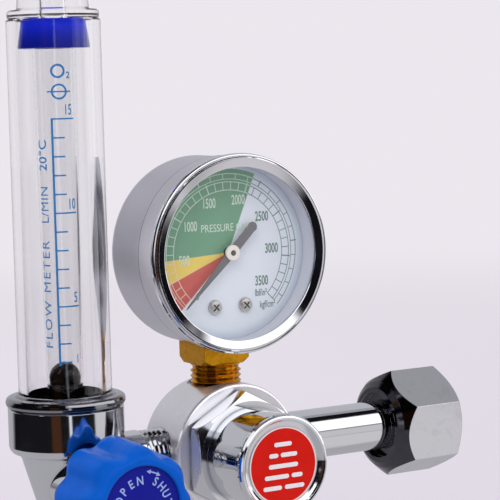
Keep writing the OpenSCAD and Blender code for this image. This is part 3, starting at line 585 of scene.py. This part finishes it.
class Film:
    """Collects flat shapes, in mm, into one thin printed piece."""
    def __init__(self):
        self.points, self.faces = [], []

    def add(self, points, faces):
        start = len(self.points)
        self.points += points
        self.faces += [[i + start for i in face] for face in faces]

    def text(self, words, size, x, y, bold=0.0, width=1.0, turn=0.0, spacing=1.0):
        points, faces = text_mesh(words, size, bold, spacing)
        cos, sin = math.cos(math.radians(turn)), math.sin(math.radians(turn))
        self.add([(x + right * width * cos - up * sin, y + right * width * sin + up * cos)
                  for right, up in points], faces)

    def rect(self, x0, y0, x1, y1, columns, rows):
        points = [(x0 + (x1 - x0) * i / columns, y0 + (y1 - y0) * j / rows)
                  for j in range(rows + 1) for i in range(columns + 1)]
        corners = [j * (columns + 1) + i for j in range(rows) for i in range(columns)]
        self.add(points, [[k, k + 1, k + columns + 2, k + columns + 1] for k in corners])

    def polygon(self, points):
        self.add(points, [list(range(len(points)))])

    def pill(self, x0, x1, y, height):
        radius = height / 2
        points = []
        for center, start in ((x1 - radius, -90.0), (x0 + radius, 90.0)):
            for i in range(9):
                right, up = polar(radius, start + 180.0 * i / 8)
                points.append((center + right, y + up))
        self.polygon(points)

    def arc(self, x, y, inner, outer, start=0.0, end=360.0, steps=48):
        """A curved strip, closed when it spans the full circle."""
        count = steps if end - start == 360.0 else steps + 1
        points = []
        for i in range(count):
            for radius in (inner, outer):
                right, up = polar(radius, start + (end - start) * i / steps)
                points.append((x + right, y + up))
        pairs = [(i, (i + 1) % count) for i in range(steps)]
        self.add(points, [[2 * i, 2 * i + 1, 2 * j + 1, 2 * j] for i, j in pairs])

    def build(self, name, place, material, body):
        piece = mesh_piece(name, [place(x, y) for x, y in self.points], self.faces,
                           material, body)
        film = piece.modifiers.new("film", "SOLIDIFY")
        film.thickness = FILM_THICKNESS
        film.offset = 0.0


def flat_on(center_x, face_y, center_z):
    """Places film points just in front of a face that looks towards -Y."""
    return lambda x, y: (center_x + x * MM, face_y - FILM_LIFT_MM * MM, center_z + y * MM)


# ---- dial lettering: text, size, x, y, boldness, width factor
DIAL_SHIFT = 1.7 * MM
DIAL_PALE = (
    ("500", 3.75, -15.4, -1.5, 0.06, 0.60), ("1000", 3.75, -13.3, 7.5, 0.06, 0.56),
    ("1500", 3.75, -7.4, 13.4, 0.06, 0.56), ("2000", 3.75, 1.7, 14.0, 0.06, 0.56),
    ("PRESSURE", 2.95, -5.0, 6.7, 0.01, 0.80), ("GAUGE", 2.95, 4.3, 6.6, 0.02, 0.72),
)
DIAL_DARK = (
    ("2500", 3.75, 9.0, 9.1, 0.05, 0.56), ("3000", 3.75, 11.9, 0.2, 0.05, 0.56),
    ("3500", 3.75, 8.5, -8.5, 0.05, 0.56), ("lbf/in²", 2.7, 8.2, -11.7, 0.02, 0.62),
    ("kgf/cm²", 2.7, 10.2, -15.0, 0.02, 0.62), ("0", 2.6, -11.6, -11.4, 0.04, 0.6),
)


def dial_lettering(name, rows, material):
    film = Film()
    for row in rows:
        film.text(*row)
    film.build(name, flat_on(GAUGE_X + DIAL_SHIFT, DIAL_Y, GAUGE_Z), material,
               "regulator")


dial_lettering("dial_numerals_pale", DIAL_PALE, ink("ink_dial_pale", (0.62, 0.78, 0.62)))
dial_lettering("dial_numerals_dark", DIAL_DARK, ink("ink_dial", (0.13, 0.23, 0.18)))

# ---- cap label: rows of bars, top to bottom
# half length of the row in mm, then start and end of each bar as shares of it
LABEL_ROWS = (
    (2.7, ((-1, 1),)),
    (4.3, ((-1, -0.35), (-0.18, 1))),
    (4.5, ((-1, 1),)),
    (5.8, ((-1, 0.28), (0.42, 1))),
    (6.3, ((-1, -0.1), (0.04, 1))),
)
LABEL_PITCH = 2.85


def label_marks():
    film = Film()
    for row, (half, bars) in enumerate(LABEL_ROWS):
        for start, end in bars:
            film.pill(half * start, half * end, y=LABEL_PITCH * (2 - row), height=1.15)
    film.build("label_marks", flat_on(LABEL_X, LABEL_Y, LABEL_Z),
               ink("ink_white", (0.80, 0.80, 0.80)), "regulator")


label_marks()


# ---- knob badge lettering: turns with the knob
def knob_lettering():
    film = Film()
    for word, radius, middle_angle, pitch in (("OPEN", 6.7, 127, 22), ("SHUT", 7.1, 31, 18)):
        for i, letter in enumerate(word):
            angle = middle_angle - (i - (len(word) - 1) / 2) * pitch
            film.text(letter, 3.1, *polar(radius, angle), bold=0.05, width=0.85,
                      turn=angle - 90)
    # curved double-headed arrow between the words
    arrow, half_line, half_head = 9.05, 0.175, 0.6
    film.arc(0.0, 0.0, arrow - half_line, arrow + half_line, start=74, end=62, steps=14)
    film.polygon([polar(arrow, 81), polar(arrow + half_head, 74),
                  polar(arrow - half_head, 74)])
    film.polygon([polar(arrow, 55), polar(arrow - half_head, 62),
                  polar(arrow + half_head, 62)])
    film.build("knob_lettering", flat_on(FLOW_X, BADGE_FRONT, KNOB_Z),
               ink("ink_pale_blue", (0.30, 0.42, 0.72)), "knob")


knob_lettering()

# ---- flow scale: wrapped round the tapered metering tube, in mm
SCALE_ANGLE = math.radians(-121.5)          # direction the scale faces
TAPER_BOTTOM, TAPER_TOP = 19.8, 112.0
RADIUS_BOTTOM, RADIUS_TOP = 4.75, 5.70
HEIGHT_AT_15, UNIT_HEIGHT = 92.0, 4.88
STEM_X, STEM_HALF = -0.55, 0.28             # upright line the ticks spring from
TICK_HALF = 0.20


def on_meter(x, z):
    share = (z - TAPER_BOTTOM) / (TAPER_TOP - TAPER_BOTTOM)
    radius = RADIUS_BOTTOM + (RADIUS_TOP - RADIUS_BOTTOM) * share + FILM_LIFT_MM
    angle = SCALE_ANGLE + x / radius
    return (FLOW_X + radius * math.cos(angle) * MM, radius * math.sin(angle) * MM, z * MM)


def height_at(flow):
    return HEIGHT_AT_15 - UNIT_HEIGHT * (15 - flow)


def flow_scale():
    film = Film()
    film.rect(STEM_X - STEM_HALF, height_at(2) - 0.9, STEM_X + STEM_HALF, HEIGHT_AT_15 + 0.2,
              columns=2, rows=60)
    for flow in range(2, 16):
        reach = 3.1 if flow % 5 else 5.9
        film.rect(STEM_X + STEM_HALF, height_at(flow) - TICK_HALF, STEM_X + reach,
                  height_at(flow) + TICK_HALF, columns=14, rows=1)
    for flow, offset in ((15, 4.25), (10, 4.55), (5, 4.85)):
        film.text(str(flow), 3.9, STEM_X + offset, height_at(flow) + 2.2, bold=0.03,
                  width=0.62)
    film.text("1", 3.2, STEM_X + 4.9, height_at(2) + 0.6, bold=0.03, width=0.7)
    film.text("FLOW METER", 3.7, -3.5, 46.3, turn=90, spacing=1.25, width=1.06)
    film.text("L/MIN", 3.7, -3.4, 69.8, turn=90, spacing=1.1, width=0.95)
    film.text("20°C", 3.8, -3.5, 82.6, turn=90, bold=0.035, spacing=1.05, width=0.98)
    # ringed mark with a 2 beside it, and below it a ring crossed by a line
    film.arc(1.3, 104.3, inner=1.30, outer=1.85)
    film.text("2", 2.4, 4.0, 103.1, bold=0.04)
    film.arc(1.5, 99.0, inner=1.55, outer=2.05)
    film.rect(-1.6, 98.82, 4.6, 99.18, columns=12, rows=1)
    film.build("flow_scale_print", on_meter, ink("ink_blue", (0.0, 0.185, 0.47)),
               "regulator")


flow_scale()

# ---- knob: lobed moulding with a rounded rim and a badge recess, in mm
LOBES = 8
LOBE_TURN = math.radians(5.5)
KNOB_SEGMENTS = 192
PROFILE_LENGTH, PROFILE_RADIUS = 20.7, 15.4     # size the profile is drawn at
BADGE_FLOOR = BADGE_BACK / MM - KNOB_LOW.y / MM + 0.02
# closed section: distance behind the front, radius, depth of the valleys between lobes
KNOB_PROFILE = (
    (BADGE_FLOOR, 2.56, 0), (BADGE_FLOOR, 10.46, 0), (0.30, 10.5, 0), (0.10, 10.62, 0),
    (0.02, 10.95, 0), (0.0, 11.4, 0.0), (0.06, 12.0, 0.15), (0.30, 12.7, 0.45),
    (0.75, 13.35, 0.8), (1.4, 13.95, 1.15), (2.3, 14.45, 1.45), (3.5, 14.8, 1.65),
    (6.0, 15.05, 1.85), (10.0, 15.2, 1.95), (14.0, 15.3, 2.0), (17.5, 15.36, 2.0),
    (19.2, 15.36, 1.95), (20.0, 15.1, 1.8), (20.45, 14.6, 1.6), (20.6, 13.8, 1.2),
    (20.62, 12.4, 0.4), (20.6, 11.05, 0), (20.4, 11.0, 0), (12.9, 11.0, 0),
    (12.8, 10.8, 0), (12.8, 2.56, 0),
)


def knob_moulding():
    length_scale = (KNOB_HIGH.y - KNOB_LOW.y) / PROFILE_LENGTH
    radius_scale = (KNOB_HIGH.x - KNOB_LOW.x) / 2 / MM / PROFILE_RADIUS
    points, faces = [], []
    for depth, base_radius, valley in KNOB_PROFILE:
        for i in range(KNOB_SEGMENTS):
            angle = 2 * math.pi * i / KNOB_SEGMENTS
            wave = 0.5 - 0.5 * math.cos(LOBES * (angle + LOBE_TURN))
            # the power makes the lobes wide and the valleys narrow
            radius = (base_radius * radius_scale - valley * wave ** 1.6) * MM
            points.append((FLOW_X + radius * math.cos(angle), KNOB_LOW.y + depth * length_scale,
                           KNOB_Z + radius * math.sin(angle)))
    for k in range(len(KNOB_PROFILE)):
        here = k * KNOB_SEGMENTS
        after = (k + 1) % len(KNOB_PROFILE) * KNOB_SEGMENTS
        for i in range(KNOB_SEGMENTS):
            j = (i + 1) % KNOB_SEGMENTS
            faces.append([here + i, here + j, after + j, after + i])
    knob = mesh_piece("knob_moulding", points, faces, FINISH_OF["flow_knob"], "knob",
                      smooth=True)
    mesh = bmesh.new()
    mesh.from_mesh(knob.data)
    bmesh.ops.recalc_face_normals(mesh, faces=mesh.faces)
    mesh.to_mesh(knob.data)
    mesh.free()
    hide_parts("flow_knob")


knob_moulding()

# ---------------------------------------------------------------- surroundings
CAMERA_AZIMUTH = math.radians(-118.7)
BACKDROP = (0.835, 0.80, 0.855)
CARD_GREY = (0.63, 0.62, 0.64)
STRIP_BLUE = (0.75, 0.78, 0.85)
DOOR_BROWN = (0.060, 0.023, 0.010)


def azimuth(graph, x, y):
    """Degrees from the direction of the camera, positive to the camera's right."""
    cos, sin = math.cos(CAMERA_AZIMUTH), math.sin(CAMERA_AZIMUTH)
    forward = x * cos + y * sin
    side = x * -sin + y * cos
    return graph.math("ARCTAN2", side, forward) * TO_DEGREES


def reflected(graph, rear):
    """1 for reflected rays, but 0 for those passing straight through clear plastic
    or leaving it where rear is 1."""
    straight = graph.math("LESS_THAN", graph.light_path("Glossy Depth"), 0.5)
    through = graph.light_path("Is Transmission Ray") * graph.math("MAXIMUM", straight, rear)
    return graph.light_path("Is Glossy Ray") * (1.0 - through)


def floor_material():
    """Pale floor that fades into the backdrop and has its own look in reflections."""
    made, graph = new_material("floor_pale")
    x, y, z = graph.xyz(graph.position())
    x = x - GAUGE_X
    distance = graph.math("SQRT", x * x + y * y)
    cloud = graph.noise(graph.position(), scale=6.0, detail=3.0)
    seen = graph.mix_shader(
        graph.step(distance, edge=0.75, width=0.55),
        graph.bsdf(Base_Color=graph.mix(cloud, (0.70, 0.675, 0.72), (0.72, 0.695, 0.74)),
                   Roughness=0.6),
        graph.make("Emission", {0: BACKDROP}))
    # in reflections the floor falls off to a dark room on the camera's side
    angle = azimuth(graph, x, y)
    front = 1.0 - graph.step(abs(angle), edge=118.0, width=8.0)
    dark = front * graph.step(distance, edge=0.30, width=0.06)
    # painted reflection: a lighter band of floor on the camera's right, glowing only in
    # reflections
    near = (graph.band(angle, low=38.0, high=102.0, width=5.0)
            * graph.step(distance, edge=0.06, width=0.03))
    color = graph.mix(cloud, (0.42, 0.41, 0.44), (0.46, 0.45, 0.48))
    color = graph.mix(near, color, (0.66, 0.65, 0.67))
    color = graph.mix(dark, color, (0.007, 0.007, 0.009))
    # stripes across the dark part: azimuth from and to, softness, colour
    for low, high, soft, stripe in (
            (55.0, 84.0, 3.0, CARD_GREY), (-29.0, -12.0, 1.5, DOOR_BROWN),
            (92.0, 112.0, 1.5, (0.95, 0.95, 0.98)), (3.0, 8.0, 1.0, STRIP_BLUE)):
        color = graph.mix(graph.band(angle, low, high, soft) * dark, color, stripe)
    rear = 1.0 - front * graph.step(distance, edge=0.12, width=0.03)
    graph.surface(graph.mix_shader(reflected(graph, rear), seen,
                                   graph.make("Emission", {0: color})))
    return made


def floor():
    height = CAD_BOX[0][2] - 0.006
    segments, radii = 96, (0.05, 0.1, 0.2, 0.4, 0.8, 1.6, 3.2)
    points = [(GAUGE_X, 0, height)]
    for radius in radii:
        for i in range(segments):
            angle = 2 * math.pi * i / segments
            points.append((GAUGE_X + radius * math.cos(angle), radius * math.sin(angle),
                           height))
    faces = [[0, 1 + i, 1 + (i + 1) % segments] for i in range(segments)]
    for k in range(len(radii) - 1):
        inner, outer = 1 + k * segments, 1 + (k + 1) * segments
        for i in range(segments):
            j = (i + 1) % segments
            faces.append([inner + i, outer + i, outer + j, inner + j])
    mesh = bpy.data.meshes.new("floor")
    mesh.from_pydata(points, [], faces)
    piece = bpy.data.objects.new("floor", mesh)
    scene.collection.objects.link(piece)
    assign(piece, floor_material())


floor()

CAMERA_PLACE = Vector((-0.26783329 + GAUGE_X, -0.47118652, 0.10189674))
# directions to the camera's right, up, and back out of the view
CAMERA_AXES = ((0.858370044628, -0.512403930990, -0.0253589824554),
               (0.0666228546740, 0.0623215884568, 0.995830013028),
               (-0.508686801205, -0.856480140527, 0.0876327972937))


def camera():
    lens = bpy.data.cameras.new("camera")
    holder = bpy.data.objects.new("camera", lens)
    scene.collection.objects.link(holder)
    lens.sensor_width = 36.0
    lens.sensor_fit = "HORIZONTAL"
    lens.lens = 142.86168
    lens.clip_start = 0.01
    lens.clip_end = 50.0
    turn = Matrix(CAMERA_AXES).transposed().to_4x4()
    holder.matrix_world = Matrix.Translation(CAMERA_PLACE) @ turn
    scene.camera = holder


camera()

# Patches of the studio seen in reflections, later ones on top:
# azimuth from and to, elevation from and to, softness of each (all degrees), colour
WHITE = (1.45, 1.45, 1.48)
BLACK = (0.006, 0.006, 0.008)
PATCHES = (
    (8, 112, 15, 50, 1.5, 2.0, WHITE),                  # broad softbox, camera right
    (57, 80, -32, 12, 2.5, 3, CARD_GREY),               # grey card under it
    (93, 112, -20, 30, 1.2, 3, WHITE),                  # strip light at the far right
    (123, 142, 46, 68, 2, 2, (0.36, 0.36, 0.385)),      # dim cloth high at the far right
    (97, 121, 46, 68, 1.5, 1.0, BLACK),                 # dark gap beside the softbox
    (3, 8, -22, 45, 1.0, 4, STRIP_BLUE),                # narrow strip near the camera
    (-56, -46, 26, 64, 2.0, 3, (1.1, 1.1, 1.15)),       # small softbox, camera left
    (-29, -12, -25, 24, 1.5, 3, DOOR_BROWN),            # brown door frame
    (-150, -92, 40, 84, 4, 4, BLACK),                   # black flag above left
    (-118, -60, 18, 40, 4, 3, BLACK),                   # lower black flag, left
)


def world():
    studio = bpy.data.worlds.new("studio")
    scene.world = studio
    studio.use_nodes = True
    graph = Graph(studio.node_tree)
    x, y, z = graph.xyz(graph.make("TexCoord", {}, "Generated"))
    angle = azimuth(graph, x, y)
    elevation = graph.math("ARCSINE", z) * TO_DEGREES
    pale = graph.mix(graph.step(elevation, edge=5.0, width=75.0), BACKDROP, BACKDROP)
    away = abs(angle)
    # dark room in front, grey cloth behind, dim ceiling
    color = graph.mix(graph.step(away, edge=118.0, width=7.0),
                      (0.005, 0.005, 0.007), (0.53, 0.53, 0.565))
    color = graph.mix(graph.step(elevation, edge=66.0, width=10.0), color,
                      (0.21, 0.21, 0.235))
    for left, right, low, high, soft_side, soft_height, patch in PATCHES:
        inside = (graph.band(angle, left, right, soft_side)
                  * graph.band(elevation, low, high, soft_height))
        color = graph.mix(inside, color, patch)
    rear = graph.step(away, edge=115.0, width=12.0)
    shader = graph.mix_shader(reflected(graph, rear), graph.make("Background", {0: pale}),
                              graph.make("Background", {0: color}))
    graph.add("OutputWorld", {0: shader})


world()


def area(name, place, size, power, color=(1, 1, 1)):
    """A rectangular light aimed at the gauge, hidden from the camera and reflections."""
    light = bpy.data.lights.new(name, "AREA")
    light.shape = "RECTANGLE"
    light.size, light.size_y = size
    light.energy = power
    light.color = color
    holder = bpy.data.objects.new(name, light)
    scene.collection.objects.link(holder)
    holder.location = place
    aim = Vector((GAUGE_X, 0, 0.04)) - Vector(place)
    holder.rotation_euler = aim.to_track_quat("-Z", "Y").to_euler()
    holder.visible_glossy = False
    holder.visible_transmission = False
    holder.visible_camera = False


area("key", place=(GAUGE_X - 0.55, -0.55, 0.75), size=(0.5, 0.35), power=2.6,
     color=(1.0, 0.985, 0.97))
area("fill", place=(GAUGE_X + 0.75, -0.45, 0.35), size=(0.4, 0.5), power=1.2,
     color=(0.93, 0.96, 1.0))
area("rim", place=(GAUGE_X + 0.1, 0.7, 0.6), size=(0.6, 0.3), power=1.6)

scene.view_settings.view_transform = "Standard"
scene.view_settings.look = "None"
